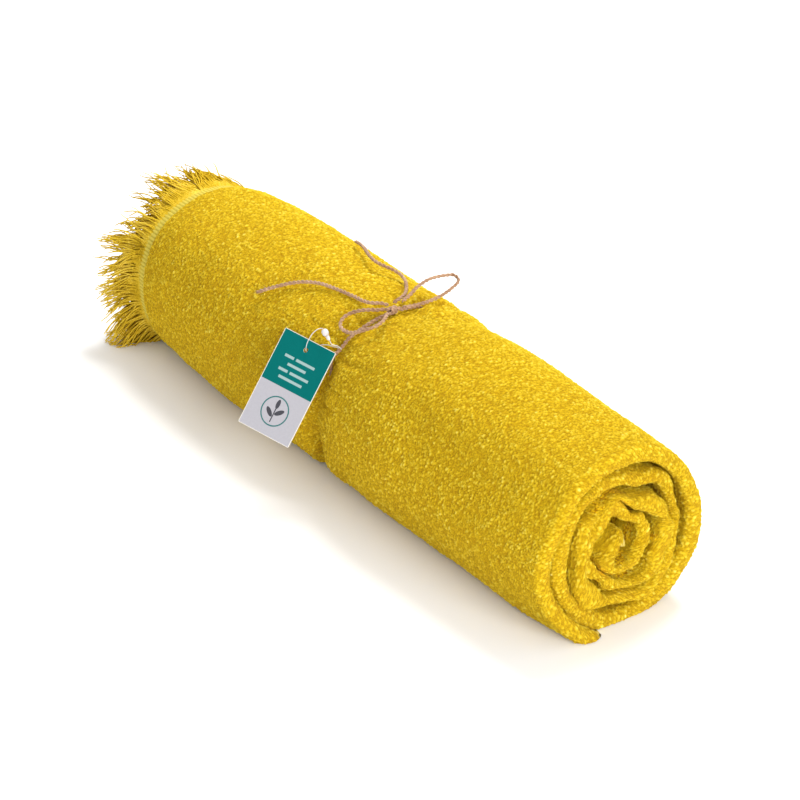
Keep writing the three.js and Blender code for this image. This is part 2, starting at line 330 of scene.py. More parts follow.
class Field:  # a socket that can stand in a sum
    def __init__(self, paint, socket):
        self.paint, self.socket = paint, socket

    def maths(self, operation, *values):
        return self.paint.node("Math", {"operation": operation}, dict(enumerate(values)))

    def __add__(self, other):
        return self.maths("ADD", self, other)

    def __sub__(self, other):
        return self.maths("SUBTRACT", self, other)

    def __rsub__(self, other):
        return self.maths("SUBTRACT", other, self)

    def __mul__(self, other):
        return self.maths("MULTIPLY", self, other)

    def __truediv__(self, other):
        return self.maths("DIVIDE", self, other)

    def __lt__(self, other):
        return self.maths("LESS_THAN", self, other)

    def __gt__(self, other):
        return self.maths("GREATER_THAN", self, other)

    def __abs__(self):
        return self.maths("ABSOLUTE", self)

    __radd__, __rmul__ = __add__, __mul__


class Paint:  # a material, with one method that makes any node
    def __init__(self, name, constants):
        self.material = bpy.data.materials.new(name)
        self.material.use_nodes = True
        self.tree = self.material.node_tree
        self.shader = self.tree.nodes["Principled BSDF"]
        for socket, value in constants.items():
            self.shader.inputs[socket].default_value = value

    def node(self, kind, settings=None, values=None, out=0):
        made = self.tree.nodes.new("ShaderNode" + kind)
        for name, value in (settings or {}).items():
            if name == "stops":
                ramp = made.color_ramp.elements
                while len(ramp) < len(value):
                    ramp.new(0.5)
                for element, (position, colour) in zip(ramp, value):
                    element.position, element.color = position, (*colour, 1)
            else:
                setattr(made, name, value)
        for socket, value in (values or {}).items():
            self.feed(made.inputs[socket], value)
        return Field(self, made.outputs[out])

    def feed(self, socket, value):
        if isinstance(value, Field):
            self.tree.links.new(value.socket, socket)
        elif socket.type == "RGBA" and len(value) == 3:
            socket.default_value = (*value, 1)
        else:
            socket.default_value = value

    def mix(self, factor, first, second):
        return self.node("Mix", {"data_type": "RGBA"}, {0: factor, 6: first, 7: second}, 2)

    def ramp(self, factor, stops):
        return self.node("ValToRGB", {"stops": stops}, {0: factor})

    def noise(self, where, scale, detail=2, out=0):
        return self.node("TexNoise", {}, {"Vector": where, "Scale": scale, "Detail": detail}, out)

    def finish(self, colour=None, roughness=None, height=None, distance=0.0003, strength=1.0):
        if colour is not None:
            self.feed(self.shader.inputs["Base Color"], colour)
        if roughness is not None:
            self.feed(self.shader.inputs["Roughness"], roughness)
        if height is not None:
            bump = self.node("Bump", {}, {"Strength": strength, "Distance": distance, "Height": height})
            self.feed(self.shader.inputs["Normal"], bump)
        return self.material


terryLook = {
    # from painted shade in the pits up to a painted highlight on the loop tips
    "pitShadeTipHighlight": [
        (0.14, (0.40, 0.19, 0.001)),
        (0.32, (0.86, 0.55, 0.006)),
        (0.55, (0.98, 0.74, 0.04)),
        (0.85, (1.0, 0.88, 0.22)),
    ],
    "loopScale": 640,
    "loopSoftness": 0.2,
    "patchScale": 22,
    "patch": (0.84, 0.54, 0.012),
    "speckScale": 800,
    "selvedge": (0.80, 0.66, 0.17),
    "selvedgeWidth": 0.0035,
    "bump": 0.0006,
    "bumpStrength": 0.75,
}


def terryPaint():  # painted shade in the pits between the loops and painted highlight on the loop tips, by the loops' height
    paint = Paint("terry", {
        "Roughness": 1.0,
        "Sheen Weight": 0.08,
        "Sheen Roughness": 0.6,
        "Sheen Tint": (1, 0.8, 0.25, 1),
        "Specular IOR Level": 0.04,
    })
    cloth = paint.node("Attribute", {"attribute_name": "cloth"}, out=1)
    split = paint.node("SeparateXYZ", {}, {0: cloth}, 2)
    loops = paint.node(
        "TexVoronoi",
        {"feature": "SMOOTH_F1"},
        {"Vector": cloth, "Scale": terryLook["loopScale"], "Smoothness": terryLook["loopSoftness"]},
    )
    patches = paint.noise(cloth, terryLook["patchScale"], 3)
    speck = paint.noise(cloth, terryLook["speckScale"], 2)
    # the lower the spot among the loops, the more painted shade; the higher, the more painted highlight
    lift = split * 0.6 + (1 - loops * 1.4) * 0.44 + (speck - 0.5) * 0.34
    colour = paint.ramp(lift, terryLook["pitShadeTipHighlight"])
    tinted = paint.mix((patches - 0.4) * 0.4, colour, terryLook["patch"])
    row = paint.node("SeparateXYZ", {}, {0: cloth}, 1)
    innerEdge = arcLength(turns) - terryLook["selvedgeWidth"] * 1.6
    selvedge = (row < terryLook["selvedgeWidth"]) + (row > innerEdge)
    tinted = paint.mix(selvedge * 0.75, tinted, terryLook["selvedge"])
    bumps = (1 - loops) + speck * 0.5
    return paint.finish(tinted, None, bumps, terryLook["bump"], terryLook["bumpStrength"])


hemLook = {
    # painted shade: darker in the troughs between the ribs, lighter on their crests
    "weaveRibShade": [(0.15, (0.48, 0.36, 0.035)), (0.75, (0.70, 0.56, 0.09))],
    "speckScale": 700,
    "bump": 0.0003,
}


def hemPaint():
    paint = Paint("hem_weave", {"Roughness": 1.0, "Specular IOR Level": 0.05})
    cloth = paint.node("Attribute", {"attribute_name": "cloth"}, out=1)
    speck = paint.noise(cloth, hemLook["speckScale"], 2)
    # the rib's height paints shade into the troughs
    lift = paint.node("SeparateXYZ", {}, {0: cloth}, 2)
    colour = paint.ramp(lift * 0.7 + speck * 0.4, hemLook["weaveRibShade"])
    return paint.finish(colour, height=speck, distance=hemLook["bump"])


yarnLook = {
    "yarns": [(0.28, (0.30, 0.17, 0.003)), (0.5, (0.63, 0.42, 0.02)), (0.7, (0.84, 0.64, 0.10))],
    "speckScale": 900,
    "patchScale": 55,
    "bump": 0.0004,
}


def yarnPaint():
    paint = Paint("fringe_yarn", {"Roughness": 1.0, "Specular IOR Level": 0.05})
    where = paint.node("TexCoord", {}, out=3)
    speck = paint.noise(where, yarnLook["speckScale"], 2)
    patches = paint.noise(where, yarnLook["patchScale"], 2)
    colour = paint.ramp(speck * 0.5 + patches * 0.5, yarnLook["yarns"])
    return paint.finish(colour, height=speck, distance=yarnLook["bump"])


juteLook = {
    "fibres": [(0.28, (0.12, 0.055, 0.024)), (0.5, (0.36, 0.20, 0.105)), (0.7, (0.58, 0.39, 0.26))],
    "speckScale": 1500,
    "patchScale": 90,
    "bump": 0.0003,
}


def jutePaint():
    paint = Paint("jute_twine", {"Roughness": 0.85, "Sheen Weight": 0.3, "Specular IOR Level": 0.25})
    where = paint.node("TexCoord", {}, out=3)
    speck = paint.noise(where, juteLook["speckScale"], 3)
    patches = paint.noise(where, juteLook["patchScale"], 2)
    colour = paint.ramp(speck * 0.65 + patches * 0.35, juteLook["fibres"])
    return paint.finish(colour, height=speck, distance=juteLook["bump"])


def nylonPaint():
    paint = Paint("fastener_nylon", {
        "Roughness": 0.3,
        "Base Color": (0.58, 0.57, 0.55, 1),
        "Subsurface Weight": 0.15,
        "Subsurface Scale": 0.002,
    })
    where = paint.node("TexCoord", {}, out=3)
    return paint.finish(roughness=0.24 + paint.noise(where, 700, 2) * 0.14)


terry = terryPaint()
hemWeave = hemPaint()
fringeYarn = yarnPaint()
jute = jutePaint()
nylon = nylonPaint()
print("colours mixed")


def addPiece(name, mesh, material, body="bundle"):
    made = bpy.data.objects.new(name, mesh)
    addToScene(made)
    mesh.materials.clear()
    mesh.materials.append(material)
    mesh.shade_smooth()
    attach(made, body)
    return made


def clothPiece(name, across, along, place, material):
    # a grid whose corners are moved by place(a, b); it keeps (cloth x, cloth y, lift) on each
    shape = bmesh.new()
    bmesh.ops.create_grid(shape, x_segments=across, y_segments=along, size=0.5)
    layer = shape.verts.layers.float_vector.new("cloth")
    for corner in shape.verts:
        corner.co, corner[layer] = place(corner.co.x + 0.5, corner.co.y + 0.5)
    mesh = bpy.data.meshes.new(name)
    shape.to_mesh(mesh)
    shape.free()
    return addPiece(name, mesh, material)


def strandMesh(name, lines, radius, sides=2):
    # round strands along lists of (point, relative radius), as one mesh
    curve = bpy.data.curves.new(name, "CURVE")
    curve.dimensions = "3D"
    curve.bevel_depth = radius
    curve.bevel_resolution = sides
    curve.use_fill_caps = True
    for line in lines:
        spline = curve.splines.new("POLY")
        spline.points.add(len(line) - 1)
        for point, (spot, width) in zip(spline.points, line):
            point.co = (*spot, 1)
            point.radius = width
    holder = bpy.data.objects.new(name + "_curve", curve)
    addToScene(holder)
    bpy.context.view_layer.update()
    mesh = bpy.data.meshes.new_from_object(holder.evaluated_get(bpy.context.evaluated_depsgraph_get()))
    bpy.data.objects.remove(holder)
    bpy.data.curves.remove(curve)
    mesh.name = name
    return mesh


def smoothRoute(points, step):  # a curve through the points, with even steps along it
    points = [Vector(point) for point in points]
    ends = [2 * points[0] - points[1], *points, 2 * points[-1] - points[-2]]
    dense = []
    for before, start, end, after in zip(ends, ends[1:], ends[2:], ends[3:]):
        knots = [0]
        for first, second in ((before, start), (start, end), (end, after)):
            knots.append(knots[-1] + max(1e-6, (second - first).length ** 0.5))
        for i in range(24):
            t = knots[1] + (knots[2] - knots[1]) * i / 24

            def blend(a, b, low, high):
                return a * ((high - t) / (high - low)) + b * ((t - low) / (high - low))

            first = blend(before, start, knots[0], knots[1])
            second = blend(start, end, knots[1], knots[2])
            third = blend(end, after, knots[2], knots[3])
            fourth = blend(first, second, knots[0], knots[2])
            fifth = blend(second, third, knots[1], knots[3])
            dense.append(blend(fourth, fifth, knots[1], knots[2]))
    dense.append(points[-1])
    total = sum((b - a).length for a, b in zip(dense, dense[1:]))
    count = max(2, round(total / step))
    route, passed, target = [dense[0]], 0, total / count
    for a, b in zip(dense, dense[1:]):
        length = (b - a).length
        while passed + length >= target - 1e-9 and len(route) < count:
            route.append(a.lerp(b, (target - passed) / length if length else 0))
            target += total / count
        passed += length
    route.append(dense[-1])
    return route, total


def framesOn(route):  # two directions across the route at each point, without twist
    across = []
    side = None
    for i, point in enumerate(route):
        ahead = (route[min(i + 1, len(route) - 1)] - route[max(i - 1, 0)]).normalized()
        if side is None:
            side = ahead.orthogonal()
        side = (side - ahead * side.dot(ahead)).normalized()
        across.append((side.copy(), ahead.cross(side)))
    return across


twine = {
    "diameter": 0.0024,
    "plyRadius": 0.00066,
    "plyOffset": 0.00058,
    "twistLength": 0.0062,
    "step": 0.0006,
    "slackTwist": 0.25,
    "unevenness": 0.14,
    "frayLength": (0.001, 0.0026),
    "hairsPerMetre": 620,
    "hairLength": (0.0012, 0.0042),
    "hairRadius": 0.00006,
    "hairFloor": 0.0005,
}
leftLoop = [
    (-2.8, -4.4, 0.9), (-4.6, -7.4, 0.5), (-11, -13.8, -0.4), (-16.6, -20, -2.8), (-18.6, -25.4, -5.8),
    (-16.6, -29.2, -8.4), (-10.8, -30.6, -9.6), (-4.4, -29.3, -9), (4.4, -24.6, -4.6), (8.8, -19.2, -1.6),
    (8.4, -13.4, 0.2), (4.8, -8.4, 0.6), (2.2, -5.6, 0.4),
]
rightLoop = [
    (2.6, 5.4, 1.4), (4.6, 11, 1.4), (6.6, 20, 2), (7, 31, 3), (5, 42, 4.6), (1.8, 50.4, 7),
    (-2.4, 50, 9), (-4.6, 44, 9.6), (-5.6, 34, 10), (-5, 24, 8.2), (-2.2, 15, 5.6), (-0.4, 7.4, 3.6),
]
leftTail = [
    (-3.8, -0.8, 2.2), (-7, -4.2, 3.2), (-12.2, -8.4, 2.6), (-19, -9.8, 1.6), (-26.2, -10.4, 1.3),
    (-38, -13, 1.4), (-46, -15, 1.4), (-54.6, -17.4, 1.1), (-62.5, -20.6, 0), (-70, -24.8, -1.9),
    (-76, -29, -4.3), (-81.2, -33.4, -6.9), (-87.5, -38, -10.4), (-93.5, -41.8, -14),
]
rightTail = [
    (-3.6, 3, 2.8), (-4.4, 8.4, 3.8), (-8.4, 15.2, 3.2), (-16.3, 22.2, 2.6), (-25.3, 27.6, 2.3),
    (-33.5, 29.6, 2.8), (-39, 27.4, 4.6), (-43, 23.4, 6.8), (-49.5, 21.4, 8), (-57.5, 22.6, 8),
    (-66, 26, 6.8), (-75, 30, 5.2), (-84, 32.8, 3.4), (-91, 34.6, 1.9),
]
hairs = random.Random(11)


def twistedTwine(name, route, frayed=0):  # two plies wound round each other along a route
    across = framesOn(route)
    plyTurn = 2 * math.pi * twine["step"] / twine["twistLength"]
    lines = []
    for ply in range(2):
        line = []
        for i, (spot, (side, other)) in enumerate(zip(route, across)):
            turn = plyTurn * i + math.pi * ply
            fromEnd = min(i, len(route) - 1 - i)
            loosening = 1 + twine["slackTwist"] * noise.noise(Vector((i * 0.08, ply * 7.3, len(route))))
            offset = twine["plyOffset"] * loosening
            uneven = 1 + twine["unevenness"] * noise.noise(Vector((i * 0.21, ply * 3.1, 2)))
            width = (0.5 + 0.5 * min(1, fromEnd / 2)) * uneven
            line.append((spot + side * offset * math.cos(turn) + other * offset * math.sin(turn), width))
        lines.append(line)
    for i in range(frayed):
        side, other = across[-1]
        ahead = (route[-1] - route[-2]).normalized()
        way = (ahead + side * hairs.uniform(-0.5, 0.5) + other * hairs.uniform(-0.5, 0.5)).normalized()
        start = route[-1] - ahead * 0.001
        start = start + side * hairs.uniform(-0.0006, 0.0006) + other * hairs.uniform(-0.0006, 0.0006)
        reach = hairs.uniform(*twine["frayLength"])
        lines.append([(start, 0.25), (start + way * reach * 0.6, 0.2), (start + way * reach, 0.08)])
    return addPiece(name, strandMesh(name, lines, twine["plyRadius"]), jute)


def twineHairs(name, routes):
    lines = []
    for route in routes:
        across = framesOn(route)
        for _ in range(round(len(route) * twine["step"] * twine["hairsPerMetre"])):
            i = hairs.randrange(1, len(route) - 1)
            side, other = across[i]
            turn = hairs.uniform(0, 2 * math.pi)
            outward = side * math.cos(turn) + other * math.sin(turn)
            ahead = (route[i + 1] - route[i]).normalized() * hairs.choice((-1, 1))
            start = route[i] + outward * twine["diameter"] * 0.36
            length = hairs.uniform(*twine["hairLength"])
            way = (outward * hairs.uniform(0.25, 1) + ahead * hairs.uniform(0.4, 1.4)).normalized()
            bent = (way + outward * hairs.uniform(-0.5, 0.6)).normalized()
            half = start + way * length * 0.5
            tip = half + bent * length * 0.5
            tip.z = max(twine["hairFloor"], tip.z)
            lines.append([(start, 1), (half, 0.8), (tip, 0.3)])
    return addPiece(name, strandMesh(name, lines, twine["hairRadius"], 0), jute)


freeTwine = {}
bowStrands = {
    "twine_loop_left": (leftLoop, "object", 0),
    "twine_loop_right": (rightLoop, "object", 0),
    "twine_tail_left": (leftTail, "bare", 9),
    "twine_tail_right": (rightTail, "bare", 9),
}
for node, (offsets, farEnd, frayed) in bowStrands.items():
    route, length = smoothRoute([knotMiddle + Vector(offset) / 1000 for offset in offsets], twine["step"])
    strand = twistedTwine(node.replace("twine", "jute"), route, frayed)
    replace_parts(strand, node)
    freeTwine[node] = route
print("bow laid out")

bandShape = {
    "sunk": 0.0036,  # the twine lies this much deeper where the cloth closes over it
    "bareAngles": (70, 14, 146, 12),  # it lies free here
    "lift": 0.0005,
    "hangLift": 0.0014,  # over the tag's fastener
    "hangReach": 16,
    "lipOverhang": 1.5,  # degrees past the lip, where it comes down to the next turn
    "lipSpan": 25,
    "stops": 90,
    "knotHalf": (0.0032, 0.0052, 0.0029),
    "intoKnot": 0.0006,
    "hairyLength": 0.024,  # the band lies free from the knot to just short of the tag
}


def twinePoint(angle):
    pastLip = (angle - roll["lipAngle"]) % 360
    falling = max(0, pastLip - bandShape["lipOverhang"]) / bandShape["lipSpan"]
    step = roll["pitch"] * (1 - falling) ** 2 if falling < 1 else 0
    nearHang = max(0, 1 - abs(angle - groove["hangAngle"]) / bandShape["hangReach"])
    lift = bandShape["lift"] + (bandShape["hangLift"] - bandShape["lift"]) * min(1, 2 * nearHang)
    lift -= bandShape["sunk"] * (1 - plateau(angle % 360, *bandShape["bareAngles"]))
    return rolled(0, turnAt(angle), -step - lift - twine["diameter"] / 2)


bandHalf = math.degrees((bandShape["knotHalf"][1] - bandShape["intoKnot"]) / knotRadius)
bandSpan = 360 - 2 * bandHalf
bandAngles = [
    roll["knotAngle"] + bandHalf + bandSpan * i / bandShape["stops"]
    for i in range(bandShape["stops"] + 1)
]
bandRoute = smoothRoute([twinePoint(angle) for angle in bandAngles], twine["step"])[0]
band = twistedTwine("jute_band", bandRoute)
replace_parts(band, "twine_band")

# the knot: one strand wraps the crossing twice, over the ends of the loops
sideways = Vector((1, 0, 0))
lengthways = (bandRoute[0] - bandRoute[-1]).normalized()
upwards = sideways.cross(lengthways)
if upwards.z < 0:
    upwards = upwards * -1


def knotSpot(x, y, z):
    half = bandShape["knotHalf"]
    return knotMiddle + sideways * x * half[0] + lengthways * y * half[1] * -1 + upwards * z * half[2]


knotShape = {  # spots as parts of the knot's half sizes
    "over": [
        (-0.75, -0.75, 0.2), (-0.3, -0.45, 0.5), (0.1, 0, 0.62), (0.45, 0.45, 0.45), (0.7, 0.85, 0.15),
    ],
    "under": [(0.7, -0.85, -0.1), (0.3, -0.4, -0.4), (-0.1, 0.1, -0.5), (-0.5, 0.7, -0.1)],
    "wrapFrom": -0.5,
    "wrapLength": 0.95,
    "wrapHalf": (0.62, 0.58),
    "wrapStart": 2.6,
    "wrapTurns": 4.3,  # half turns
    "stops": 28,
}
wrap = []
halfWidth, halfHeight = knotShape["wrapHalf"]
for i in range(knotShape["stops"] + 1):
    turn = knotShape["wrapStart"] + knotShape["wrapTurns"] * math.pi * i / knotShape["stops"]
    way = knotShape["wrapFrom"] + knotShape["wrapLength"] * (i / knotShape["stops"])
    wrap.append(knotSpot(halfWidth * math.cos(turn), way, halfHeight * math.sin(turn)))
knotStrands = {
    "jute_knot_wrap": wrap,
    "jute_knot_over": [knotSpot(*spot) for spot in knotShape["over"]],
    "jute_knot_under": [knotSpot(*spot) for spot in knotShape["under"]],
}
knotRoutes = []
for name, points in knotStrands.items():
    route = smoothRoute(points, twine["step"])[0]
    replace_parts(twistedTwine(name, route), "twine_knot")
    knotRoutes.append(route)
nearKnot = round(bandShape["hairyLength"] / twine["step"])
twineHairs("jute_hairs", [*freeTwine.values(), bandRoute[:nearKnot], *knotRoutes])
print("twine twisted")


def foldedPath():
    # the towel is one sheet, folded twice and rolled: its runs through the stack, and the bends between
    a, b, c, d = plies["depths"]
    near, far, end = plies["foldAt"], plies["farFoldAt"], -roll["farLength"]
    return [
        ("run", end, near, a, -1), ("bend", near, 1, (a + d) / 2, (d - a) / 2),
        ("run", near, far, d, 1), ("bend", far, -1, (c + d) / 2, (d - c) / 2),
        ("run", far, near, c, -1), ("bend", near, 1, (b + c) / 2, (c - b) / 2),
        ("run", near, end, b, 1),
    ]


stretches = []
sheetLength = 0
for kind, first, second, third, fourth in foldedPath():
    length = abs(second - first) if kind == "run" else math.pi * fourth
    stretches.append((sheetLength, length, kind, first, second, third, fourth))
    sheetLength += length
print("cloth length", round(sheetLength, 3), "width", round(arcLength(turns), 3))


def sheetSpot(distance, turn, height):
    # distance along the cloth from its outer fringe, turns from the lip, height above the cloth's middle
    for start, length, kind, first, second, third, fourth in stretches:
        if distance <= start + length or start + length >= sheetLength - 1e-9:
            break
    part = (distance - start) / length
    outerFold = second > 0 and fourth > 0.002
    if kind == "run":
        along, depth = first + (second - first) * part, third
        normal = (0, fourth)
    else:
        bend = math.pi * part
        if outerFold:  # from the outermost ply to the innermost
            normal = (math.sin(bend), -math.cos(bend))
        elif second < 0:  # from the innermost ply to the one outside it, at the far end
            normal = (math.sin(bend), math.cos(bend))
        else:  # inner fold: from the third ply to the second
            normal = (-math.sin(bend), -math.cos(bend))
        turnWay = 1 if second > 0 else -1
        along = first + turnWay * fourth * math.sin(bend)
        sign = 1 if outerFold else -1
        depth = third - sign * fourth * math.cos(bend)
    along += normal[0] * height
    depth += normal[1] * height
    edge = arcLength(turn)
    middle = sum(plies["depths"]) / 4
    if edge < plies["lipRound"]:  # the plies close up round the lip
        closing = 1 - (1 - edge / plies["lipRound"]) ** 2
        depth = middle + (depth - middle) * math.sqrt(max(plies["closed"], closing))
    if along > plies["cornerFrom"][0] and edge < plies["corner"]:  # and the corner of the stack is rounded
        rounding = 1 - math.sqrt(1 - (1 - edge / plies["corner"]) ** 2)
        along -= plies["corner"] * rounding * rising(along, *plies["cornerFrom"])
    if along > looseEnd["from"]:
        depth *= 1 + looseEnd["slackThick"] * plateau(turn, *looseEnd["slackTurns"]) * loosenessAt(along)
    if along > looseEnd["squashFrom"][0] and turn > looseEnd["squashTurns"][0]:
        # further in, the stack is pressed thinner here and there
        pressed = looseEnd["squash"] * rising(along, *looseEnd["squashFrom"])
        pressed *= rising(turn, *looseEnd["squashTurns"])
        thinner = pressed * smooth(0.5 + 1.6 * noise.noise(Vector((turn * 5.2, 3.3, 0))))
        depth = middle + (depth - middle) * (1 - thinner)
    return along, depth


def clothSpot(distance, turn, height, lift):
    along, depth = sheetSpot(distance, turn, height)
    if along < plies["drawnFrom"]:
        depth += plies["drawn"] * ((plies["drawnFrom"] - along) / plies["drawnOver"]) ** 2
    return rolled(along, turn, depth), Vector((distance, arcLength(turn), lift))


sheet = {
    "acrossRun": 28,
    "acrossBend": 8,
    "turnFacets": 38,
    "lipRows": (0, 0.0007, 0.0017, 0.003, 0.005, 0.0075),  # the rows lie closer together by the lip
    "ground": 0.0014,  # the woven cloth that the loops stand on
    "sunk": 0.0012,  # it lies this much deeper where the pile covers it
    "sunkAtTwine": 0.003,
    "twineSpan": 0.03,
    "coveredTo": (0.42, 0.02),
}
sheetStops = []
for start, length, kind, *_ in stretches:
    count = sheet["acrossRun"] if kind == "run" else sheet["acrossBend"]
    for i in range(count):
        part = 2 * i / count - 1
        if kind == "run":  # closer together by the twine
            part = math.copysign(abs(part) ** 1.5, part)
        sheetStops.append(start + length * (part + 1) / 2)
sheetStops.append(sheetLength)
facets = round(turns * sheet["turnFacets"])
turnStops = [turnOnArc(arc) for arc in sheet["lipRows"]]
turnStops += [turns * (i + 1) / facets for i in range(facets)]


def sheetPlace(a, b):
    distance = sheetStops[round(a * (len(sheetStops) - 1))]
    fromTwine = (distance - roll["farLength"]) / sheet["twineSpan"]
    sunk = sheet["sunk"] + sheet["sunkAtTwine"] * math.exp(-fromTwine ** 2)
    hidden = sunk * (1 - rising(distance, *sheet["coveredTo"]))
    # its lift of 0.2 puts it towards the pits' end of the terry ramp, so it takes their painted shade
    return clothSpot(distance, turnStops[round(b * (len(turnStops) - 1))], -hidden, 0.2)


towel = clothPiece("towel_sheet", len(sheetStops) - 1, len(turnStops) - 1, sheetPlace, terry)
thicken = towel.modifiers.new("thickness", "SOLIDIFY")
thicken.thickness = sheet["ground"]
thicken.offset = 0
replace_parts(towel, "towel_cloth")
print("towel rolled")

pile = {
    "grain": (0.0015, 0.0019),  # one loop, along and across the cloth
    "strayScale": 0.31,
    "stray": 0.5,
    "steepness": 2.1,
    "least": 0.68,  # loops differ in height between this and the whole
    "height": 0.0012,
    "fine": 0.00066,  # the skin's mesh
    "aboveCloth": 0.0001,
    "edge": (0.002, 0.004),  # no loops along the selvedges
    "rimStart": 0.43,  # along the cloth, a little before the outer fold
    "pastFold": 0.02,
    "bodyTurns": 1.03,  # past the lip, where the outer turn covers the next
    "rimTurns": 1.7,
    "bodyParts": 5,
}


def pileHeight(x, y):
    spot = Vector((x / pile["grain"][0], y / pile["grain"][1], 0))
    spot += noise.noise_vector(spot * pile["strayScale"]) * pile["stray"]
    distances, points = noise.voronoi(spot)
    crumb = min(1, pile["steepness"] * (distances[1] - distances[0]))
    own = pile["least"] + 0.32 * noise.cell(points[0] * 7.7)
    edge = min(y, arcLength(turns) - y)
    return max(0, crumb * own) * rising(edge, *pile["edge"])


def pilePlace(low, high, fromTurn, toTurn):
    base = plies["thickness"] / 2 + pile["aboveCloth"]

    def place(a, b):
        distance = low + (high - low) * a
        turn = fromTurn + (toTurn - fromTurn) * b
        lift = pileHeight(distance, arcLength(turn))
        return clothSpot(distance, turn, base + pile["height"] * lift, lift)

    return place


def pileSkin(name, low, high, fromTurn, toTurn):
    across = max(2, round((high - low) / pile["fine"]))
    along = max(2, round((arcLength(toTurn) - arcLength(fromTurn)) / pile["fine"]))
    place = pilePlace(low, high, fromTurn, toTurn)
    return clothPiece(name, across, along, place, terry)


skins = []
rimStart = pile["rimStart"]
outerFoldEnd = stretches[1][0] + stretches[1][1]
rimEnd = outerFoldEnd + pile["pastFold"]
splits = [rimStart * part / pile["bodyParts"] for part in range(pile["bodyParts"] + 1)]
for number, (low, high) in enumerate(zip(splits, splits[1:]), 1):
    skins.append(pileSkin(f"pile_body_{number}", low, high, 0, pile["bodyTurns"]))
skins.append(pileSkin("pile_rim_outer", rimStart, rimEnd, 0, pile["rimTurns"]))
skins.append(pileSkin("pile_rim_inner", rimStart, rimEnd, pile["rimTurns"], turns))
for skin in skins:
    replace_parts(skin, "towel_cloth")
print("pile raised")


hems = {
    "width": 0.009,
    "overlap": 0.002,  # it runs this far under the pile
    "thickness": 0.0012,
    "rib": 0.0016,
    "ribHeight": 0.0002,
    "inward": 0.0016,
    "spread": 0.2,
    "outerDrop": 0.0006,
}
ribs = round(arcLength(turns) / hems["rib"])
hemDepths = {"hem_outer": plies["depths"][0] + hems["outerDrop"], "hem_inner": plies["depths"][1]}
for name, depth in hemDepths.items():

    def hemPlace(a, b, depth=depth):
        turn = turns * b
        rib = math.cos(2 * math.pi * b * ribs)
        along = -roll["farLength"] + hems["overlap"] - (hems["width"] + hems["overlap"]) * a
        inward = hems["inward"]
        if along <= -roll["farLength"]:
            inward = hems["inward"] * (1 - hems["spread"] * a)
        spot = rolled(along, turn, depth + inward - hems["ribHeight"] * rib)
        # the third value is the rib's height, which paints shade into the hem's troughs
        return spot, Vector((along, arcLength(turn), 0.5 + 0.5 * rib))

    hem = clothPiece(name, 5, ribs * 4, hemPlace, hemWeave)
    wall = hem.modifiers.new("thickness", "SOLIDIFY")
    wall.thickness = hems["thickness"]
    wall.offset = 0
    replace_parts(hem, "hem_band")
print("hems woven")

fringe = {
    "length": 0.051,
    "lengthSpread": 0.16,
    "yarnRadius": 0.00055,
    "yarnGap": 0.00064,
    "lockWidth": (0.011, 0.024),
    "gathering": 0.74,
    "strays": 0.12,  # share of the yarns that don't keep to their lock
    "wave": (0.0005, 0.0016),
    "waves": (0.7, 2.2),
    "lift": (-0.002, 0.002),
    "strayLift": (-0.005, 0.007),
    "waveTurns": (6.28, 5),  # round the roll and away from it
    "flare": 0.003,
    "frontFlare": 0.009,
    "frontFlareAngles": (130, 40),
    "droop": (0.004, 0.008, 0.014),  # everywhere, more at the side, and more in front
    "sideAngles": (95, 40, 250, 60),
    "frontAngles": (175, 45, 250, 60),
    "fold": 0.03,
    "intoHem": 0.0015,
    "inward": 0.0014,
    "outerDrop": 0.0003,
    "floor": 0.0007,
    "points": 10,
}
luck = random.Random(5)


def fringeDroop(angle):  # how far the tips hang, from the top of the roll round to the front
    front = plateau(angle % 360, *fringe["frontAngles"])
    side = plateau(angle % 360, *fringe["sideAngles"])
    always, atSide, inFront = fringe["droop"]
    return always + atSide * side + inFront * front


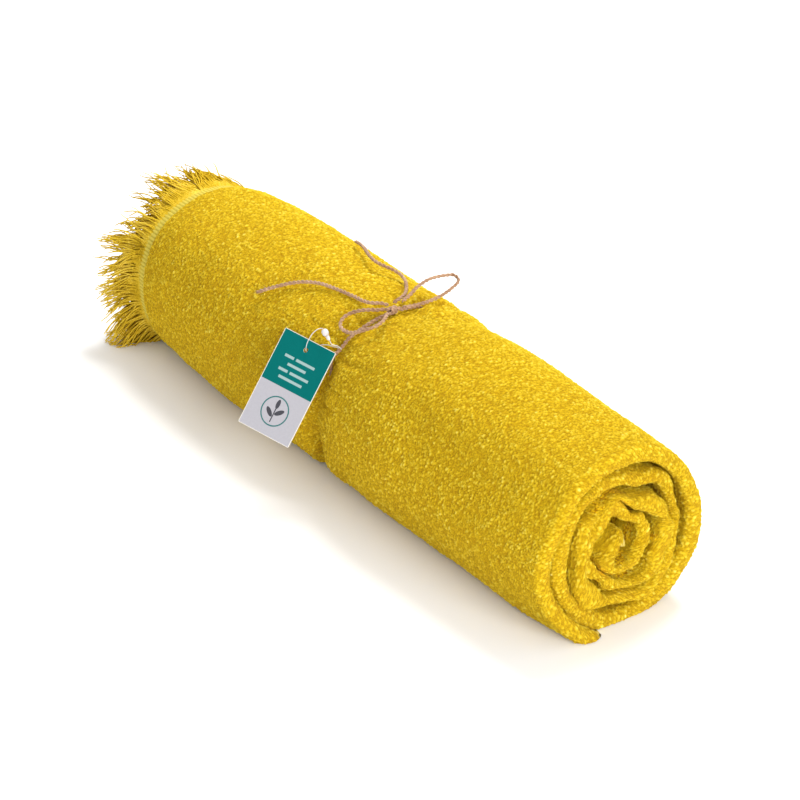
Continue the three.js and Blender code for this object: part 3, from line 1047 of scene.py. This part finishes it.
def fringeYarns(depth):  # yarns drawn together in locks, each with its own length and lean
    lines = []
    base = -roll["farLength"] - hems["width"]
    reach = arcLength(turns)
    lockStart = 0.001
    locks = []
    while lockStart < reach - 0.006:
        width = min(luck.uniform(*fringe["lockWidth"]), reach - lockStart)
        lockLength = fringe["length"] * (1 + fringe["lengthSpread"] * luck.uniform(-1, 0.5))
        lockSide = luck.uniform(-0.35, 0.35) * width
        lockFlare = luck.uniform(-0.004, 0.004)
        lockDrop = luck.uniform(0.75, 1.25)
        locks.append((lockStart, width, lockLength, lockSide, lockFlare, lockDrop))
        lockStart += width
    for lockStart, width, lockLength, lockSide, lockFlare, lockDrop in locks:
        for i in range(round(width / fringe["yarnGap"])):
            offset = (i + 0.5) * fringe["yarnGap"] - width / 2
            arc = lockStart + width / 2 + offset
            turn = turnOnArc(arc)
            angle = roll["lipAngle"] - 360 * turn
            bearing = math.radians(angle)
            radial = Vector((0, math.cos(bearing), math.sin(bearing)))
            around = Vector((0, math.sin(bearing), -math.cos(bearing)))
            stray = luck.random() < fringe["strays"]
            length = lockLength * luck.uniform(0.62, 1.08) * (1 - 0.25 * abs(2 * offset / width))
            gather = fringe["gathering"] * (0.35 if stray else luck.uniform(0.8, 1.05))
            spin = luck.uniform(0, 2 * math.pi)
            wave = luck.uniform(*fringe["wave"]) * (1.6 if stray else 1)
            waves = luck.uniform(*fringe["waves"])
            lift = lockFlare + luck.uniform(*fringe["strayLift" if stray else "lift"])
            atFront = rising(angle % 360, *fringe["frontFlareAngles"])
            flare = fringe["flare"] + fringe["frontFlare"] * atFront
            drop = fringeDroop(angle) * lockDrop * (0.6 if stray else 1)
            start = rolled(base + fringe["intoHem"], turn, depth + fringe["inward"])
            acrossTurn, outTurn = fringe["waveTurns"]
            line = []
            for j in range(fringe["points"]):
                part = j / (fringe["points"] - 1)
                spot = start + Vector((-length * part * (1 - 0.22 * part * drop / fringe["fold"]), 0, 0))
                closing = part ** 1.25 * gather
                waveAcross = wave * math.sin(spin + waves * acrossTurn * part) * part
                waveOut = wave * math.cos(spin + waves * outTurn * part) * part
                spot += around * ((-offset + lockSide) * closing + waveAcross)
                spot += radial * (flare * part ** 2 + lift * part ** 1.5 + waveOut)
                spot.z = max(fringe["floor"], spot.z - drop * part ** 1.9)
                line.append((spot, 1.05 - 0.55 * part ** 3))
            lines.append(line)
    return lines


tufts = [node for node in frame["nodes"] if node.startswith("fringe_tuft")]
outerDepth, innerDepth = plies["depths"][:2]
fringeDepths = {"fringe_outer": outerDepth + fringe["outerDrop"], "fringe_inner": innerDepth}
for name, depth in fringeDepths.items():
    mesh = strandMesh(name, fringeYarns(depth), fringe["yarnRadius"], 0)
    yarns = addPiece(name, mesh, fringeYarn)
    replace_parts(yarns, *tufts)
print("fringe combed")


# the tag and its fastener
tagJoint = next(joint for joint in frame["record"]["behaviour"]["joints"] if joint["child"] == "tag")
tagShape = {"hole": tagJoint["pos_m"], "right": (0.922, 0.344, -0.178), "out": (0.38, -0.713, 0.589)}
tagOut = Vector(tagShape["out"]).normalized()
tagUp = tagOut.cross(Vector(tagShape["right"])).normalized()
tagRight = tagUp.cross(tagOut)
tagTurn = Matrix((tagRight, tagUp, tagOut)).transposed()
tagPrint = {  # millimetres from the hole, right and up: left, right, low and high of each box
    "face": 0.2,
    "tealFrom": -27.8,
    "bars": [
        (-11.5, -4.5, -9.3, -7.5), (-2.8, 11.5, -9.3, -7.5), (-7, 7, -13.9, -12.1),
        (-11.5, -4.5, -18.5, -16.7), (-2.8, 11.5, -18.5, -16.7), (-9, 9, -23.1, -21.3),
    ],
    "ring": (0, -43.5, 9.5, 0.45),
    "stem": (-0.4, 0.4, -51, -40),
    "leaves": [(-3.4, -45.2, -0.7, 3.6, 1.5), (3.4, -43.2, 0.7, 3.6, 1.5), (0, -38.6, 1.57, 3.2, 1.4)],
    "edge": (-19.4, 19.4, -59.7, 6.7),
    "board": ((0.36, 0.35, 0.38), (0.42, 0.41, 0.44)),
    "teal": ((0.001, 0.112, 0.104), (0.002, 0.132, 0.124)),
    "barColour": (0.33, 0.45, 0.44),
    "ink": (0.06, 0.06, 0.07),
    "cutEdge": (0.78, 0.75, 0.66),
}


def together(shapes):
    total = shapes[0]
    for shape in shapes[1:]:
        total = total + shape
    return total


def tagPaint():
    paint = Paint("tag_card", {"Specular IOR Level": 0.03})
    where = paint.node("TexCoord", {}, out=3)
    onCard = {0: where, 1: tagShape["hole"], 2: tuple(tagTurn.to_euler())}
    card = paint.node("Mapping", {"vector_type": "TEXTURE"}, onCard)
    x = paint.node("SeparateXYZ", {}, {0: card}, 0) * 1000
    y = paint.node("SeparateXYZ", {}, {0: card}, 1) * 1000
    z = paint.node("SeparateXYZ", {}, {0: card}, 2) * 1000

    def box(left, right, low, high):
        return (x > left) * (x < right) * (y > low) * (y < high)

    def ring(cx, cy, radius, width):
        squared = (x - cx) * (x - cx) + (y - cy) * (y - cy)
        return abs(squared.maths("SQRT", squared) - radius) < width

    def leaf(cx, cy, slope, long, wide):
        along = (x - cx) * math.cos(slope) + (y - cy) * math.sin(slope)
        across = (y - cy) * math.cos(slope) - (x - cx) * math.sin(slope)
        return ((along / long) * (along / long) + (across / wide) * (across / wide)) < 1

    face = z > tagPrint["face"]
    upper = y > tagPrint["tealFrom"]
    bars = together([box(*sides) for sides in tagPrint["bars"]])
    circle = ring(*tagPrint["ring"])
    leaves = together([leaf(*place) for place in tagPrint["leaves"]])
    sprig = box(*tagPrint["stem"]) + leaves
    speck = paint.noise(where, 900, 2)
    board = paint.mix(speck, *tagPrint["board"])
    teal = paint.mix(speck, *tagPrint["teal"])
    printed = paint.mix(upper, board, teal)
    printed = paint.mix(upper * bars * 0.85, printed, tagPrint["barColour"])
    printed = paint.mix((1 - upper) * circle * 0.9, printed, teal)
    printed = paint.mix((1 - upper) * sprig.maths("MINIMUM", sprig, 1), printed, tagPrint["ink"])
    colour = paint.mix(face * box(*tagPrint["edge"]), tagPrint["cutEdge"], printed)
    return paint.finish(colour, roughness=0.42 + speck * 0.12)


tagNode = bpy.data.objects["tag_card"]
tagPaper = tagPaint()
for slotOnCard in tagNode.material_slots:
    slotOnCard.material = tagPaper

fastener = {
    "filament": 0.0005,
    "lock": (7.5, 15.6, 2.4),  # millimetres from the hole in the card
    "socketWay": (0.8, -0.56, -0.22),
    "lockProfile": [
        (-2.3, 0), (-2.3, 1.2), (-1.9, 1.55), (-1.0, 2.15), (1.0, 2.15),
        (1.6, 1.75), (2.3, 1.35), (2.3, 0.9), (0.8, 0.9), (0.8, 0),
    ],
    "plugStart": 1.1,
    "plugProfile": [
        (0, 0), (0, 0.6), (1.5, 0.6), (1.5, 1.2), (2.4, 1.2),
        (3.4, 1.1), (4.2, 0.75), (4.7, 0.52), (4.7, 0),
    ],
    "facets": 40,
    "rounding": 0.00018,
    "step": 0.0006,
    "twine": (18, 10.5, -3.2),  # the twine that the loop goes round
    "ring": 1.2 + 0.6 + 0.25,  # the twine's radius, a gap and half the filament
}


def onTag(x, y, z):  # millimetres from the hole in the card, as right, up and out
    return Vector(tagShape["hole"]) + (tagRight * x + tagUp * y + tagOut * z) / 1000


def turnedPiece(name, node, start, profile):
    # a round piece on the socket's axis, from its (distance along, radius) profile in millimetres
    way = Vector(fastener["socketWay"]).normalized()
    shape = bmesh.new()
    spots = [(radius / 1000, 0, (start + distance) / 1000) for distance, radius in profile]
    corners = [shape.verts.new(spot) for spot in spots]
    edges = [shape.edges.new(pair) for pair in zip(corners, corners[1:])]
    bmesh.ops.spin(
        shape, geom=corners + edges, cent=(0, 0, 0), axis=(0, 0, 1), angle=2 * math.pi,
        steps=fastener["facets"], use_merge=True, use_duplicate=False,
    )
    bmesh.ops.remove_doubles(shape, verts=shape.verts[:], dist=1e-7)
    bmesh.ops.recalc_face_normals(shape, faces=shape.faces[:])
    onCard = Vector((0, 0, 1)).rotation_difference(way).to_matrix().to_4x4()
    placed = Matrix.Translation(onTag(*Vector(fastener["lock"]))) @ tagTurn.to_4x4() @ onCard
    bmesh.ops.transform(shape, verts=shape.verts[:], matrix=placed)
    mesh = bpy.data.meshes.new(name)
    shape.to_mesh(mesh)
    shape.free()
    made = addPiece(name, mesh, nylon, "fastener")
    rounding = made.modifiers.new("rounding", "BEVEL")
    rounding.width = fastener["rounding"]
    rounding.segments = 3
    rounding.limit_method = "ANGLE"
    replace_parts(made, node)


turnedPiece("nylon_lock", "fastener_lock", 0, fastener["lockProfile"])
turnedPiece("nylon_plug", "fastener_plug", fastener["plugStart"], fastener["plugProfile"])

# the filament, from the lock through the card, round the twine and back to the plug
ringRadius = fastener["ring"]
socketWay = Vector(fastener["socketWay"]).normalized()
lockSpot = Vector(fastener["lock"])
right, up, out = fastener["twine"]
loopStops = [
    lockSpot - socketWay * 2.9,
    (3, 16, 3.4), (1, 12.4, 3.8), (0.3, 8, 4), (0, 4, 3), (0, 1.4, 1.4), (0, 0, 0),
    (0, -0.6, -2.2), (0.3, 0.4, -4.8), (1.4, 3.4, -6.6), (4.4, 7, -7.2), (9, 9.2, -6.8), (14, 10, -6),
    (right - ringRadius, up, out - ringRadius * 0.8), (right, up, out - ringRadius),
    (right + ringRadius * 0.72, up + 0.2, out - ringRadius * 0.7), (right + ringRadius, up + 0.5, out),
    (right + ringRadius * 0.7, up + 0.8, out + ringRadius * 0.75),
    (right - 0.3, up + 1, out + ringRadius * 1.15),
    lockSpot + socketWay * 8.5, lockSpot + socketWay * 6.1,
]
loopRoute = smoothRoute([onTag(*stop) for stop in loopStops], fastener["step"])[0]
loopMesh = strandMesh("nylon_loop", [[(spot, 1) for spot in loopRoute]], fastener["filament"] / 2, 3)
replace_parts(addPiece("nylon_loop", loopMesh, nylon, "fastener"), "fastener_loop")
print("tag hung")

floorMesh = bpy.data.meshes.new("floor")
floorShape = bmesh.new()
bmesh.ops.create_grid(floorShape, x_segments=1, y_segments=1, size=6)
floorShape.to_mesh(floorMesh)
floorShape.free()
floor = bpy.data.objects.new("floor", floorMesh)
addToScene(floor)
floorPaint = Paint("floor", {"Base Color": (0.93, 0.93, 0.93, 1), "Roughness": 0.9})
floorMesh.materials.append(floorPaint.material)
print("floor laid")
